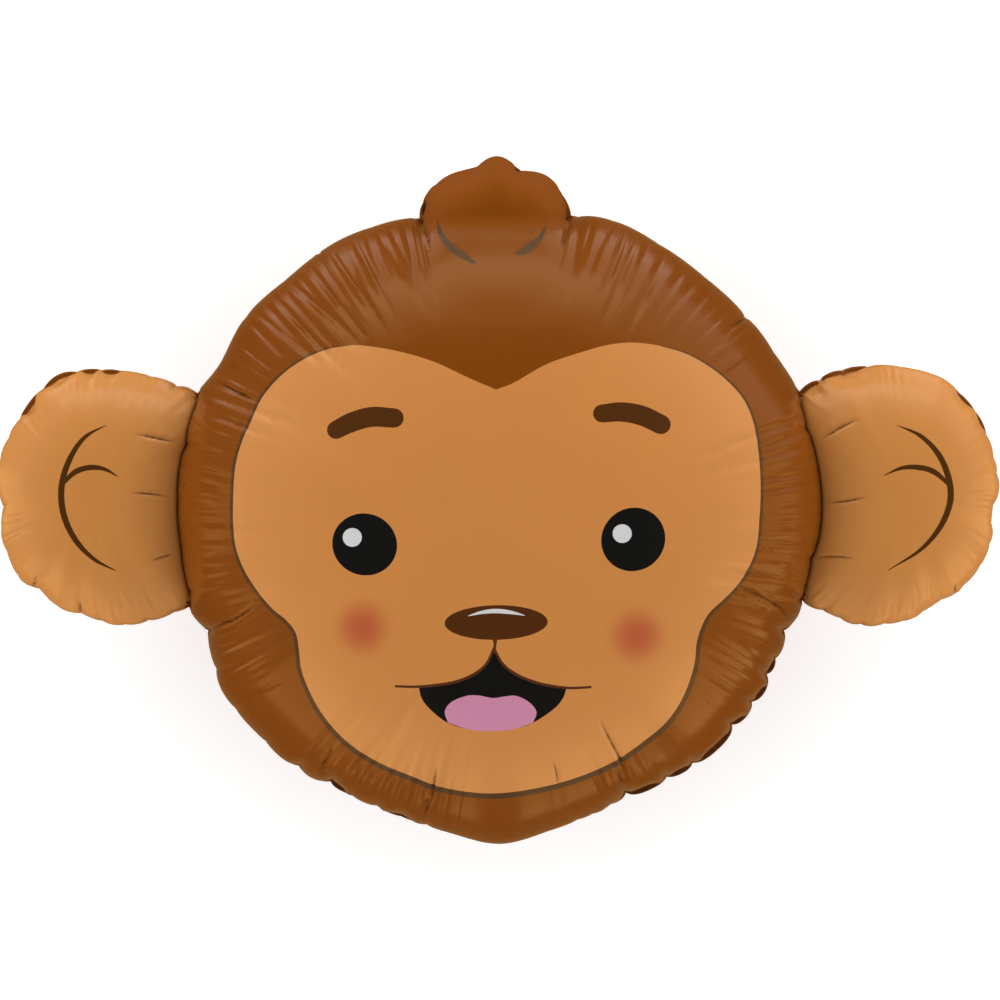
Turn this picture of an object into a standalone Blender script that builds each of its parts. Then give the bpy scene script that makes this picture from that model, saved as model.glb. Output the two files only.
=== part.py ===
"""Foil balloon in the shape of a monkey's head, lying on its back with the face up.

Two sheets of printed film are welded together along one wavy seam and blown up, so the
balloon is a single sealed body: a round head, two ears and a tuft of hair, all puffed out
on both sides of the seam. Metres, +Z up, +Y towards the tuft, origin under the middle.
"""

import math

import bmesh
import bpy
import numpy as np
from mathutils.geometry import delaunay_2d_cdt

# Driving sizes, in metres.
SPAN = 0.900
HEAD_RISE = 0.165
EAR_RISE = 0.060
TUFT_RISE = 0.075
SEAM_WIDTH = 0.005
SEAM_THICKNESS = 0.0012
SEAM_WAVE = 0.004
FLAT_SPOT_DEPTH = 0.0015

# The seam waves in full where the depths of the pinches on either side add up to this many
# thousandths of the span.
FULL_WAVE_DEPTHS = 8.0

# The film puffs out over the seam, most at a small height. A pinch cuts the puff back below
# a certain height, all the way where its depth is this many thousandths of the span, and so
# does another lobe whose reach is less than this much behind.
PUFF = 0.0058
PUFF_HEIGHT = 0.012
PUFF_CUT_DEPTH = 7.0
PUFF_CUT_WIDTH = 0.006
PUFF_CUT_TOP = 0.048
JOINT_FADE = 0.10

# Profile of blown-up film: flat in the middle and upright at the seam. The tuft is flatter
# on top and rounder at its rim than the other lobes. Higher blends leave sharper joints.
FULLNESS = 2.8
TUFT_FULLNESS = 5.0
TUFT_BLEND = 5.0
EAR_BLEND = 8.0

# A pinch is a place where the seam is drawn in. Its notch is this wide at the seam and
# spreads and fades towards the middle of the lobe, between these shares of the radius.
PINCH_WIDTH = 0.0055
PINCH_SPREAD = 0.5
FADE_FROM = 0.995
FADE_TO = 0.91

# Spacing of the mesh, in metres. A gap may be longer by the slack, as a share of one space.
COLUMN_SPACING = 0.0125
COLUMN_SLACK = 0.25
PINCH_COLUMN = 0.0045
ROW_DEPTHS = (0.0008, 0.0035, 0.0095)
FIELD_SPACING = ((0.018, 0.016), (0.034, 0.025), (0.070, 0.036))
ARC_STEP = math.radians(0.25)

# Extra points along the fold between an ear and the head: degrees to either side of the
# ear's middle, degrees apart, and metres in from the fold and out from it. The fold is looked
# for outside a share of the head's radius, and points below a share of the ear's rise are
# left out.
CREASE_REACH = 26
CREASE_STEP = 1.5
CREASE_INNER = 0.85
CREASE_LOWEST = 0.4
CREASE_ROWS = (-0.016, -0.007, 0.0, 0.007, 0.016)
CREASE_CLEARANCE = 0.009

# Steps of every search by halves.
HALVINGS = 30

# The lobes. Centres, radii and pinch depths are thousandths of the span. The radii stand at
# even angles, anticlockwise from +X. A pinch is (angle in degrees, depth).
HEAD = {
    "centre": (0, -30),
    "radii": (
        331, 335.5, 334, 326.5, 326, 324.5, 326, 328.5, 321, 318, 320, 326.5,
        330.5, 328.5, 331, 325, 338, 338, 332, 326, 313, 320, 316, 313.5,
        305, 304, 305.5, 312.5, 303, 298.5, 300, 307.5, 310, 311, 307, 318,
    ),
    "rise": HEAD_RISE,
    "fullness": FULLNESS,
    "pinches": (
        (18, 3), (26, 1), (33, 0.4), (41, 1.6), (51, 0.2), (61, 0.3), (70, 0.3), (76, 1.5),
        (104, 1.5), (113, 0.2), (123, 0.4), (131, 0.2), (140, 0.5), (149, 0.2), (156, 0.2),
        (165, 6), (174, 1), (183, 1), (191, 2.5), (199, 5), (206, 1.5), (214, 0.8), (222, 0.8),
        (229.5, 4), (236, 5), (241, 1), (246, 2), (251, 1.2), (256, 1.2), (285, 0.8),
        (288, 0.8), (292, 2.5), (295.6, 7), (304, 5), (309.6, 5), (320, 7), (325.7, 6),
        (331.6, 7), (335, 4), (340.5, 6), (347, 4), (355, 4),
    ),
}
LEFT_EAR = {
    "centre": (-402, 5),
    "radii": (
        106, 112, 122, 140, 142, 134, 129, 127, 127, 127, 120, 113, 108, 105, 102,
        99, 99, 105, 109, 115, 113, 120, 122, 131, 136, 140, 144, 130, 114, 107,
    ),
    "rise": EAR_RISE,
    "fullness": FULLNESS,
    "pinches": (
        (54, 4), (66, 1.2), (80, 1), (88, 1.8), (100, 2.2), (117, 2.4), (136, 2.2),
        (147, 1), (160, 0.5), (174, 0.5), (187, 3.4), (199, 0.6), (212, 0.8), (225, 0.8),
        (238, 2.4), (250, 0.8), (262, 2), (272, 2.4), (282, 1.4), (292, 2.6), (303, 1.6),
    ),
}
RIGHT_EAR = {
    "centre": (400, 5),
    "radii": (
        98, 101, 102.5, 107.5, 113.5, 119, 125, 127, 131, 136, 142, 145, 138, 122, 110,
        104, 106, 114, 132, 144, 139, 138, 131, 124.5, 115, 113, 109, 105, 101, 94,
    ),
    "rise": EAR_RISE,
    "fullness": FULLNESS,
    "pinches": (
        (13, 2), (22, 1.2), (35, 1.6), (48, 1), (60, 0.8), (75, 0.5), (90, 0.5), (104, 2),
        (115, 2.2), (125, 4), (236, 2.4), (244, 1.6), (253, 2.8), (263, 2), (271, 1.4),
        (281, 1.6), (292, 1.4), (305, 1), (318, 0.5), (331, 1), (343, 1), (354, 1.6),
    ),
}
TUFT = {
    "centre": (-3, 254),
    "radii": (
        80, 81, 83.6, 85, 80.5, 88.5, 81.5, 85, 88, 84.5,
        82, 84, 84, 84, 84, 84, 84, 84, 84, 82,
    ),
    "rise": TUFT_RISE,
    "fullness": TUFT_FULLNESS,
    "pinches": ((20, 2.5), (38, 0.8), (72, 1.6), (104, 1.2), (135, 0.8), (150, 1.4), (160, 2.5)),
}
LOBES = (HEAD, LEFT_EAR, RIGHT_EAR, TUFT)

COLLECTION = "monkey_foil_balloon"
FILM_BROWN = (0.195, 0.050, 0.006, 1.0)


def shares(value):
    """Thousandths of the span, in metres."""
    return np.asarray(value, float) * SPAN / 1000


def around(values, angle):
    """A smooth closed curve through values that stand at even angles."""
    values = np.asarray(values, float)
    place = np.asarray(angle) / math.tau * len(values)
    start = np.floor(place).astype(int)
    t = place - start
    a, b, c, d = (values[(start + k) % len(values)] for k in (-1, 0, 1, 2))
    return b + t / 2 * (c - a + t * (2 * a - 5 * b + 4 * c - d + t * (3 * (b - c) + d - a)))


def polar(lobe, points):
    """Distance and angle of each point from a lobe's centre."""
    offset = points - shares(lobe["centre"])
    return np.hypot(offset[..., 0], offset[..., 1]), np.arctan2(offset[..., 1], offset[..., 0])


def notch(lobe, angle, spread=1.0):
    """How far the pinches draw the seam in at an angle, in metres."""
    radius = shares(around(lobe["radii"], angle))
    drawn = np.zeros_like(radius)
    for place, depth in lobe["pinches"]:
        turn = np.abs((angle - math.radians(place) + math.pi) % math.tau - math.pi)
        drawn = drawn + shares(depth) * np.exp(-turn * radius / (PINCH_WIDTH * spread))
    return drawn


def edge_radius(lobe, angle):
    """Radius of the outer edge of the seam."""
    return shares(around(lobe["radii"], angle)) - notch(lobe, angle)


def reach(lobe, points):
    """0 at the middle of a lobe, 1 at its weld line, more outside."""
    distance, angle = polar(lobe, points)
    smooth = shares(around(lobe["radii"], angle)) - SEAM_WIDTH
    inward = np.clip((FADE_FROM - distance / smooth) / (FADE_FROM - FADE_TO), 0, 1)
    fade = 1 - inward * inward * (3 - 2 * inward)
    return distance / (smooth - fade * notch(lobe, angle, 1 + PINCH_SPREAD * inward))


def blown(lobe, points):
    """Height of one lobe's film above the seam plane."""
    full = np.clip(1 - reach(lobe, points) ** lobe["fullness"], 0, None)
    return lobe["rise"] * np.sqrt(full)


def joined(first, second, power):
    """Two heights run together. A high power leaves a sharp crease."""
    return (first**power + second**power) ** (1 / power)


def film_height(points):
    """Height of the whole film above the seam plane."""
    ears = np.maximum(blown(LEFT_EAR, points), blown(RIGHT_EAR, points))
    return joined(joined(blown(HEAD, points), blown(TUFT, points), TUFT_BLEND), ears, EAR_BLEND)


def lowness(height):
    """1 up to the height where the film puffs out most, 0 where pinches no longer cut it."""
    share = np.clip((PUFF_CUT_TOP - height) / (PUFF_CUT_TOP - PUFF_HEIGHT), 0, 1)
    return share * share * (3 - 2 * share)


def seam_shape(points, height):
    """Lift of the seam where it waves, and the way the film puffs out beside it."""
    lift = np.zeros(len(points))
    puff = np.zeros((len(points), 2))
    low = lowness(height)
    reaches = np.array([reach(lobe, points) for lobe in LOBES])
    nearest = np.argmin(reaches, axis=0)
    reaches.sort(axis=0)
    apart = np.clip((reaches[1] - reaches[0]) / JOINT_FADE, 0, 1)
    for index, lobe in enumerate(LOBES):
        mine = nearest == index
        _, angle = polar(lobe, points[mine])
        radius = shares(around(lobe["radii"], angle))
        pinches = sorted(lobe["pinches"])
        places = np.radians([place for place, _ in pinches])
        depths = np.array([depth for _, depth in pinches])
        turned = (angle - places[0]) % math.tau + places[0]
        ends = np.append(places, places[0] + math.tau)
        slot = np.searchsorted(ends, turned, side="right") - 1
        slot = np.clip(slot, 0, len(places) - 1)
        share = (turned - ends[slot]) / (ends[slot + 1] - ends[slot])
        side = np.where(slot % 2 == 0, 1.0, -1.0)
        both = depths[slot] + depths[(slot + 1) % len(depths)]
        strength = np.clip(both / FULL_WAVE_DEPTHS, 0, 1)
        lift[mine] = side * strength * np.sin(math.pi * np.clip(share, 0, 1))
        swell = np.ones_like(angle)
        for place, depth in zip(places, depths):
            turn = np.abs((angle - place + math.pi) % math.tau - math.pi)
            cut = min(1, depth / PUFF_CUT_DEPTH) * low[mine]
            swell = swell * (1 - cut * np.exp(-turn * radius / PUFF_CUT_WIDTH))
        puff[mine] = np.stack([np.cos(angle), np.sin(angle)], 1) * swell[:, None]
    return lift * apart * SEAM_WAVE, puff * apart[:, None] * PUFF


def inside(points, skipped=None):
    """True where a point lies within a lobe other than the skipped one."""
    hit = np.zeros(len(points), bool)
    for lobe in LOBES:
        if lobe is not skipped:
            distance, angle = polar(lobe, points)
            hit |= distance < edge_radius(lobe, angle)
    return hit


def edge_points(lobe, angle, depth=0.0):
    """Points on a lobe's edge, or that far in from it."""
    radius = edge_radius(lobe, angle) - depth
    return shares(lobe["centre"]) + np.stack([radius * np.cos(angle), radius * np.sin(angle)], 1)


def edge_arcs():
    """The stretches of each lobe's edge that lie outside the others, as (lobe, from, to)."""
    arcs = []
    for lobe in LOBES:
        angles = np.arange(0, math.tau, ARC_STEP)
        free = ~inside(edge_points(lobe, angles), lobe)
        for i in np.nonzero(free & ~np.roll(free, 1))[0]:
            j = i
            while free[(j + 1) % len(angles)]:
                j += 1
            arcs.append((lobe, crossing(lobe, i, -1), crossing(lobe, j, 1)))
    return arcs


def crossing(lobe, index, way):
    """The angle near a step of the arc where the edge meets another lobe."""
    free, hidden = index * ARC_STEP, (index + way) * ARC_STEP
    for _ in range(HALVINGS):
        middle = (free + hidden) / 2
        if inside(edge_points(lobe, np.array([middle])), lobe)[0]:
            hidden = middle
        else:
            free = middle
    return free


def columns(lobe, start, end):
    """Angles along one arc, with one at each pinch and one close on either side of it."""
    radius = shares(np.mean(lobe["radii"]))
    stops = [start, end]
    for place, _ in lobe["pinches"]:
        for turn in (math.radians(place), math.radians(place) + math.tau):
            for shift in (-PINCH_COLUMN, 0, PINCH_COLUMN):
                stops.append(turn + shift / radius)
    stops = sorted(stop for stop in stops if start <= stop <= end)
    apart = PINCH_COLUMN / radius / 2
    kept = [start]
    for stop in stops:
        if stop - kept[-1] > apart and (end - stop > apart or stop == end):
            kept.append(stop)
    angles = []
    for a, b in zip(kept, kept[1:]):
        count = max(1, math.ceil((b - a) * radius / COLUMN_SPACING - COLUMN_SLACK))
        angles.extend(a + (b - a) * k / count for k in range(count))
    return np.array(angles + [end])


def seam_loop():
    """Lobe and angles of every arc, in order around the balloon."""
    arcs = edge_arcs()
    ordered = [arcs.pop(0)]
    while arcs:
        lobe, _, end = ordered[-1]
        here = edge_points(lobe, np.array([end]))[0]
        gaps = [
            np.linalg.norm(edge_points(other, np.array([start]))[0] - here)
            for other, start, _ in arcs
        ]
        ordered.append(arcs.pop(int(np.argmin(gaps))))
    return [(lobe, columns(lobe, start, end)) for lobe, start, end in ordered]


def row(loop, depth):
    """One closed row of points at a depth inside the edge."""
    parts = []
    for lobe, angles in loop:
        points = edge_points(lobe, angles, depth)
        parts.append(points[:-1] if depth == 0 else points)
    return np.concatenate(parts)


def crease_rows(ear):
    """Points along the fold where an ear's film runs into the head's, and beside it."""
    _, toward = polar(HEAD, shares(ear["centre"]))
    angles = toward + np.radians(np.arange(-CREASE_REACH, CREASE_REACH, CREASE_STEP))
    aim = np.stack([np.cos(angles), np.sin(angles)], 1)
    near, far = CREASE_INNER * edge_radius(HEAD, angles), edge_radius(HEAD, angles)
    for _ in range(HALVINGS):
        middle = (near + far) / 2
        points = shares(HEAD["centre"]) + middle[:, None] * aim
        over = blown(HEAD, points) > blown(ear, points)
        near, far = np.where(over, middle, near), np.where(over, far, middle)
    open_film = blown(ear, points) > CREASE_LOWEST * ear["rise"]
    return [(points + shift * aim)[open_film] for shift in CREASE_ROWS]


def within(points, ring):
    """True where a point lies inside a closed ring of points."""
    following = np.roll(ring, -1, axis=0)
    rise = following[:, 1] - ring[:, 1]
    slope = (following[:, 0] - ring[:, 0]) / np.where(rise == 0, 1, rise)
    x, y = points[:, :1], points[:, 1:]
    level = (ring[:, 1] > y) != (following[:, 1] > y)
    crossed = level & (x < ring[:, 0] + (y - ring[:, 1]) * slope)
    return crossed.sum(axis=1) % 2 == 1


def field_points(outer, creases):
    """Points inside the last row, further apart towards the middle."""
    low, high = outer.min(axis=0), outer.max(axis=0)
    kept = []
    limits = [limit for limit, _ in FIELD_SPACING] + [math.inf]
    for level, (limit, spacing) in enumerate(FIELD_SPACING):
        rise = spacing * math.sqrt(3) / 2
        for j, y in enumerate(np.arange(low[1], high[1], rise)):
            shift = spacing / 2 * (j % 2)
            line = np.arange(low[0] + shift, high[0], spacing)
            points = np.stack([line, np.full_like(line, y)], 1)
            gap = np.linalg.norm(points[:, None] - outer[None], axis=2).min(axis=1)
            fold = np.linalg.norm(points[:, None] - creases[None], axis=2).min(axis=1)
            mine = (gap > limit) & (gap <= limits[level + 1]) & (fold > CREASE_CLEARANCE)
            mine &= within(points, outer)
            kept.append(points[mine])
    return np.concatenate(kept)


def plan():
    """The balloon seen from above, as points and triangles."""
    loop = seam_loop()
    depths = (0, SEAM_WIDTH) + tuple(SEAM_WIDTH + depth for depth in ROW_DEPTHS)
    rows = [row(loop, depth) for depth in depths]
    creases = crease_rows(LEFT_EAR) + crease_rows(RIGHT_EAR)
    edges = []
    first = 0
    for points in rows + creases:
        last = first + len(points) - 1
        edges.extend((k, k + 1) for k in range(first, last))
        first = last + 1
    ends = np.cumsum([0] + [len(points) for points in rows])
    edges.extend((int(b) - 1, int(a)) for a, b in zip(ends, ends[1:]))
    field = field_points(rows[0], np.concatenate(creases))
    points = np.concatenate(rows + creases + [field])
    found = delaunay_2d_cdt(points.tolist(), edges, [], 0, 1e-7, False)
    points = np.array([tuple(point) for point in found[0]])
    triangles = np.array(found[2])
    return points, triangles[within(points[triangles].mean(axis=1), rows[0])]


def sheets(points):
    """Positions of the front and the back film above each point of the plan."""
    height = film_height(points)
    lift, puff = seam_shape(points, height)
    near = np.exp(-height / (2 * PUFF_HEIGHT))
    bulge = height / PUFF_HEIGHT * np.exp(1 - height / PUFF_HEIGHT)
    flat = points + puff * bulge[:, None]
    seam = HEAD_RISE - FLAT_SPOT_DEPTH + lift * near
    front = seam + SEAM_THICKNESS / 2 + height
    back = np.maximum(seam - SEAM_THICKNESS / 2 - height, 0)
    return np.column_stack([flat, front]), np.column_stack([flat, back])


def middle_of(corners):
    """Middle of the plan's box, which becomes the origin."""
    return np.append((corners[:, :2].min(axis=0) + corners[:, :2].max(axis=0)) / 2, 0)


def balloon_mesh():
    points, triangles = plan()
    front, back = sheets(points)
    middle = middle_of(front)
    bm = bmesh.new()
    above = [bm.verts.new(corner - middle) for corner in front]
    below = [bm.verts.new(corner - middle) for corner in back]
    for triangle in triangles:
        bm.faces.new([above[k] for k in triangle])
        bm.faces.new([below[k] for k in triangle[::-1]])
    bm.edges.ensure_lookup_table()
    bmesh.ops.bridge_loops(bm, edges=[edge for edge in bm.edges if edge.is_boundary])
    bmesh.ops.recalc_face_normals(bm, faces=bm.faces)
    mesh = bpy.data.meshes.new("foil_balloon")
    bm.to_mesh(mesh)
    bm.free()
    return mesh


def film_material():
    material = bpy.data.materials.new("printed_film")
    material.use_nodes = True
    shader = material.node_tree.nodes["Principled BSDF"]
    shader.inputs["Base Color"].default_value = FILM_BROWN
    shader.inputs["Roughness"].default_value = 0.38
    shader.inputs["Metallic"].default_value = 0.0
    return material


def main():
    for old in list(bpy.data.objects):
        bpy.data.objects.remove(old)
    parts = bpy.data.collections.new(COLLECTION)
    bpy.context.scene.collection.children.link(parts)
    balloon = bpy.data.objects.new("foil_balloon", balloon_mesh())
    balloon.data.materials.append(film_material())
    balloon.data.shade_smooth()
    balloon.data.set_sharp_from_angle(angle=math.radians(50))
    parts.objects.link(balloon)


main()
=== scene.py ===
"""Looks of the foil balloon: the printed, puckered film that stands for the plain CAD solid.

The film is one closed mesh. Rows of points follow the seam and climb the steep film beside
it, and the rest is filled with triangles that keep to the outlines of the print, so that
each colour of ink has its own faces. Pleats and creases then lower the film without moving
the print sideways, and sharp folds press it in along its normal.
"""

import math

import bpy
import numpy as np
from mathutils.geometry import delaunay_2d_cdt
from mathutils.kdtree import KDTree
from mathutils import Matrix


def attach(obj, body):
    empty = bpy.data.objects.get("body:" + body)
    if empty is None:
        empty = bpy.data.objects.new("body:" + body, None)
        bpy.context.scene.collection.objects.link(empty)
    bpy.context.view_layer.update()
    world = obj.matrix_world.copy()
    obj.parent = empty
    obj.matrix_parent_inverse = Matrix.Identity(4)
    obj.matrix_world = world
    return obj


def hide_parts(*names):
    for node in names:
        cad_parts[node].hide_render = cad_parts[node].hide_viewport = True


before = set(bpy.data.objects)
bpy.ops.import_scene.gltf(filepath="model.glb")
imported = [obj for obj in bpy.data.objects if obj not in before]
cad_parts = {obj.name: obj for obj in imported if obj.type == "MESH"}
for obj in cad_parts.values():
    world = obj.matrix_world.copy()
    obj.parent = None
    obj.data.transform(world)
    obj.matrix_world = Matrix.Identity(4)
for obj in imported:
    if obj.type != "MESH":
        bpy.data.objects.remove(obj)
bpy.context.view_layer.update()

# Sizes of the balloon in metres, as in the CAD.
SPAN = 0.900
HEAD_RISE = 0.165
EAR_RISE = 0.060
TUFT_RISE = 0.075
SEAM_WIDTH = 0.005
SEAM_THICKNESS = 0.0012
SEAM_WAVE = 0.004
PUFF = 0.0058
PUFF_HEIGHT = 0.012
PUFF_CUT_DEPTH = 7.0
PUFF_CUT_WIDTH = 0.006
PUFF_CUT_TOP = 0.048
FULL_WAVE_DEPTHS = 8.0
JOINT_FADE = 0.10
FLAT_SPOT_DEPTH = 0.0015
FULLNESS = 2.8
TUFT_FULLNESS = 5.0
TUFT_BLEND = 5.0
EAR_BLEND = 8.0
PINCH_WIDTH = 0.0055
PINCH_SPREAD = 0.5
FADE_FROM = 0.995
FADE_TO = 0.91
ARC_STEP = math.radians(0.25)
CREASE_REACH = 26
CREASE_STEP = 0.5
CREASE_INNER = 0.85
HALVINGS = 30

# The film's mesh, in metres. Points deeper than PLEAT_THINNED are half as many, and so are the
# rows and columns of the back.
COLUMN_SPACING = 0.0018
FLANGE_ROWS = (0.0, 0.0025, SEAM_WIDTH)
STEEP_ROWS = (
    0.00012, 0.00045, 0.0010, 0.0018, 0.0029, 0.0043, 0.0060, 0.0081,
    0.0106, 0.0136, 0.0171, 0.0212, 0.0260,
)
WEDGE_HALF = 7
WEDGE_HALVINGS = 24
WEDGE_MARGIN = 0.02
FIELD_SPACING = ((0.0016, 0.0030), (0.011, 0.0039), (0.075, 0.0058), (0.125, 0.0085))
BACK_EVERY = 2
PLEAT_GAP = 0.0045
PLEAT_THINNED = 0.050
PLEAT_CLEARANCE = 0.8 * COLUMN_SPACING
PRINT_SPACING = 0.0024
PRINT_CLEARANCE = 0.0011
PLAN_STEPS = 6
CAP_POINTS = 9
OVAL_POINTS = 24
FIELD_CLEARANCE = 0.42
FOLD_CLEARANCE = 0.0012
CREASE_CLEARANCE = 0.0008
WELD_DISTANCE = 2e-6
CAMERA_DISTANCE = 4.0

# The lobes, as in the CAD, in thousandths of the span: radii anticlockwise from +X, and pinches
# as (degrees, depth). "steep" is their share of the steep rows' depth.
HEAD = dict(
    centre=(0, -30), rise=HEAD_RISE, fullness=FULLNESS, steep=1.0,
    radii=(
        331, 335.5, 334, 326.5, 326, 324.5, 326, 328.5, 321, 318, 320, 326.5,
        330.5, 328.5, 331, 325, 338, 338, 332, 326, 313, 320, 316, 313.5,
        305, 304, 305.5, 312.5, 303, 298.5, 300, 307.5, 310, 311, 307, 318,
    ),
    pinches=(
        (18, 3), (26, 1), (33, 0.4), (41, 1.6), (51, 0.2), (61, 0.3), (70, 0.3), (76, 1.5),
        (104, 1.5), (113, 0.2), (123, 0.4), (131, 0.2), (140, 0.5), (149, 0.2), (156, 0.2),
        (165, 6), (174, 1), (183, 1), (191, 2.5), (199, 5), (206, 1.5), (214, 0.8), (222, 0.8),
        (229.5, 4), (236, 5), (241, 1), (246, 2), (251, 1.2), (256, 1.2), (285, 0.8),
        (288, 0.8), (292, 2.5), (295.6, 7), (304, 5), (309.6, 5), (320, 7), (325.7, 6),
        (331.6, 7), (335, 4), (340.5, 6), (347, 4), (355, 4),
    ),
)
LEFT_EAR = dict(
    centre=(-402, 5), rise=EAR_RISE, fullness=FULLNESS, steep=0.85,
    radii=(
        106, 112, 122, 140, 142, 134, 129, 127, 127, 127, 120, 113, 108, 105, 102,
        99, 99, 105, 109, 115, 113, 120, 122, 131, 136, 140, 144, 130, 114, 107,
    ),
    pinches=(
        (54, 4), (66, 1.2), (80, 1), (88, 1.8), (100, 2.2), (117, 2.4), (136, 2.2),
        (147, 1), (160, 0.5), (174, 0.5), (187, 3.4), (199, 0.6), (212, 0.8), (225, 0.8),
        (238, 2.4), (250, 0.8), (262, 2), (272, 2.4), (282, 1.4), (292, 2.6), (303, 1.6),
    ),
)
RIGHT_EAR = dict(
    centre=(400, 5), rise=EAR_RISE, fullness=FULLNESS, steep=0.85,
    radii=(
        98, 101, 102.5, 107.5, 113.5, 119, 125, 127, 131, 136, 142, 145, 138, 122, 110,
        104, 106, 114, 132, 144, 139, 138, 131, 124.5, 115, 113, 109, 105, 101, 94,
    ),
    pinches=(
        (13, 2), (22, 1.2), (35, 1.6), (48, 1), (60, 0.8), (75, 0.5), (90, 0.5), (104, 2),
        (115, 2.2), (125, 4), (236, 2.4), (244, 1.6), (253, 2.8), (263, 2), (271, 1.4),
        (281, 1.6), (292, 1.4), (305, 1), (318, 0.5), (331, 1), (343, 1), (354, 1.6),
    ),
)
TUFT = dict(
    centre=(-3, 254), rise=TUFT_RISE, fullness=TUFT_FULLNESS, steep=0.16,
    radii=(
        80, 81, 83.6, 85, 80.5, 88.5, 81.5, 85, 88, 84.5,
        82, 84, 84, 84, 84, 84, 84, 84, 84, 82,
    ),
    pinches=((20, 2.5), (38, 0.8), (72, 1.6), (104, 1.2), (135, 0.8), (150, 1.4), (160, 2.5)),
)
LOBES = (HEAD, LEFT_EAR, RIGHT_EAR, TUFT)

# Depths of further rows, which carry the pleats on past the steep film.
EAR_PLEAT_ROWS = (0.0165, 0.0205, 0.025, 0.030, 0.0355, 0.0415, 0.048)
PLEAT_ROWS = (
    (HEAD, (
        0.0135, 0.017, 0.021, 0.0255, 0.0305, 0.036, 0.042, 0.0485, 0.0555, 0.063, 0.071,
        0.080, 0.089, 0.099, 0.110,
    )),
    (LEFT_EAR, EAR_PLEAT_ROWS),
    (RIGHT_EAR, EAR_PLEAT_ROWS),
)


# Shape of the film, as in the CAD.


def shares(value):
    """Thousandths of the span, in metres."""
    return np.asarray(value, float) * SPAN / 1000


def eased(value, start, end):
    """A smooth step from 0 at start to 1 at end."""
    share = np.clip((value - start) / (end - start), 0, 1)
    return share * share * (3 - 2 * share)


def around(values, angle):
    """A smooth closed curve through values that stand at even angles."""
    values = np.asarray(values, float)
    place = np.asarray(angle) / math.tau * len(values)
    start = np.floor(place).astype(int)
    t = place - start
    a, b, c, d = (values[(start + k) % len(values)] for k in (-1, 0, 1, 2))
    return b + t / 2 * (c - a + t * (2 * a - 5 * b + 4 * c - d + t * (3 * (b - c) + d - a)))


def polar(lobe, points):
    """Distance and angle of each point from a lobe's centre."""
    offset = points - shares(lobe["centre"])
    return np.hypot(offset[..., 0], offset[..., 1]), np.arctan2(offset[..., 1], offset[..., 0])


def notch(lobe, angle, spread=1.0):
    """How far the pinches draw the seam in at an angle, in metres."""
    radius = shares(around(lobe["radii"], angle))
    drawn = np.zeros_like(radius)
    for place, depth in lobe["pinches"]:
        turn = np.abs((angle - math.radians(place) + math.pi) % math.tau - math.pi)
        drawn = drawn + shares(depth) * np.exp(-turn * radius / (PINCH_WIDTH * spread))
    return drawn


def edge_radius(lobe, angle):
    """Radius of the outer edge of the seam."""
    return shares(around(lobe["radii"], angle)) - notch(lobe, angle)


def reach(lobe, points):
    """0 at the middle of a lobe, 1 at its weld line, more outside."""
    distance, angle = polar(lobe, points)
    smooth = shares(around(lobe["radii"], angle)) - SEAM_WIDTH
    inward = np.clip((FADE_FROM - distance / smooth) / (FADE_FROM - FADE_TO), 0, 1)
    fade = 1 - inward * inward * (3 - 2 * inward)
    return distance / (smooth - fade * notch(lobe, angle, 1 + PINCH_SPREAD * inward))


def blown(lobe, points):
    """Height of one lobe's film above the seam plane."""
    full = np.clip(1 - reach(lobe, points) ** lobe["fullness"], 0, None)
    return lobe["rise"] * np.sqrt(full)


def joined(first, second, power):
    """Two heights run together. A high power leaves a sharp crease."""
    return (first**power + second**power) ** (1 / power)


def film_height(points):
    """Height of the whole film above the seam plane."""
    ears = np.maximum(blown(LEFT_EAR, points), blown(RIGHT_EAR, points))
    return joined(joined(blown(HEAD, points), blown(TUFT, points), TUFT_BLEND), ears, EAR_BLEND)


def lowness(height):
    """1 up to the height where the film puffs out most, 0 where pinches no longer cut it."""
    return eased(height, PUFF_CUT_TOP, PUFF_HEIGHT)


def seam_shape(points, nearest, height):
    """Lift of the seam where it waves, and the way the film puffs out beside it."""
    lift = np.zeros(len(points))
    puff = np.zeros((len(points), 2))
    low = lowness(height)
    reaches = np.sort([reach(lobe, points) for lobe in LOBES], axis=0)
    apart = np.clip((reaches[1] - reaches[0]) / JOINT_FADE, 0, 1)
    for index, lobe in enumerate(LOBES):
        mine = nearest == index
        _, angle = polar(lobe, points[mine])
        radius = shares(around(lobe["radii"], angle))
        pinches = sorted(lobe["pinches"])
        places = np.radians([place for place, _ in pinches])
        depths = np.array([depth for _, depth in pinches])
        turned = (angle - places[0]) % math.tau + places[0]
        ends = np.append(places, places[0] + math.tau)
        slot = np.clip(np.searchsorted(ends, turned, side="right") - 1, 0, len(places) - 1)
        share = (turned - ends[slot]) / (ends[slot + 1] - ends[slot])
        side = np.where(slot % 2 == 0, 1.0, -1.0)
        both = depths[slot] + depths[(slot + 1) % len(depths)]
        strength = np.clip(both / FULL_WAVE_DEPTHS, 0, 1)
        lift[mine] = side * strength * np.sin(math.pi * np.clip(share, 0, 1))
        swell = np.ones_like(angle)
        for place, depth in zip(places, depths):
            turn = np.abs((angle - place + math.pi) % math.tau - math.pi)
            cut = min(1, depth / PUFF_CUT_DEPTH) * low[mine]
            swell = swell * (1 - cut * np.exp(-turn * radius / PUFF_CUT_WIDTH))
        puff[mine] = np.stack([np.cos(angle), np.sin(angle)], 1) * swell[:, None]
    return lift * apart * SEAM_WAVE, puff * apart[:, None] * PUFF


def inside(points, skipped):
    """True where a point lies within a lobe other than the skipped one."""
    hit = np.zeros(len(points), bool)
    for lobe in LOBES:
        if lobe is not skipped:
            distance, angle = polar(lobe, points)
            hit |= distance < edge_radius(lobe, angle)
    return hit


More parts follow.
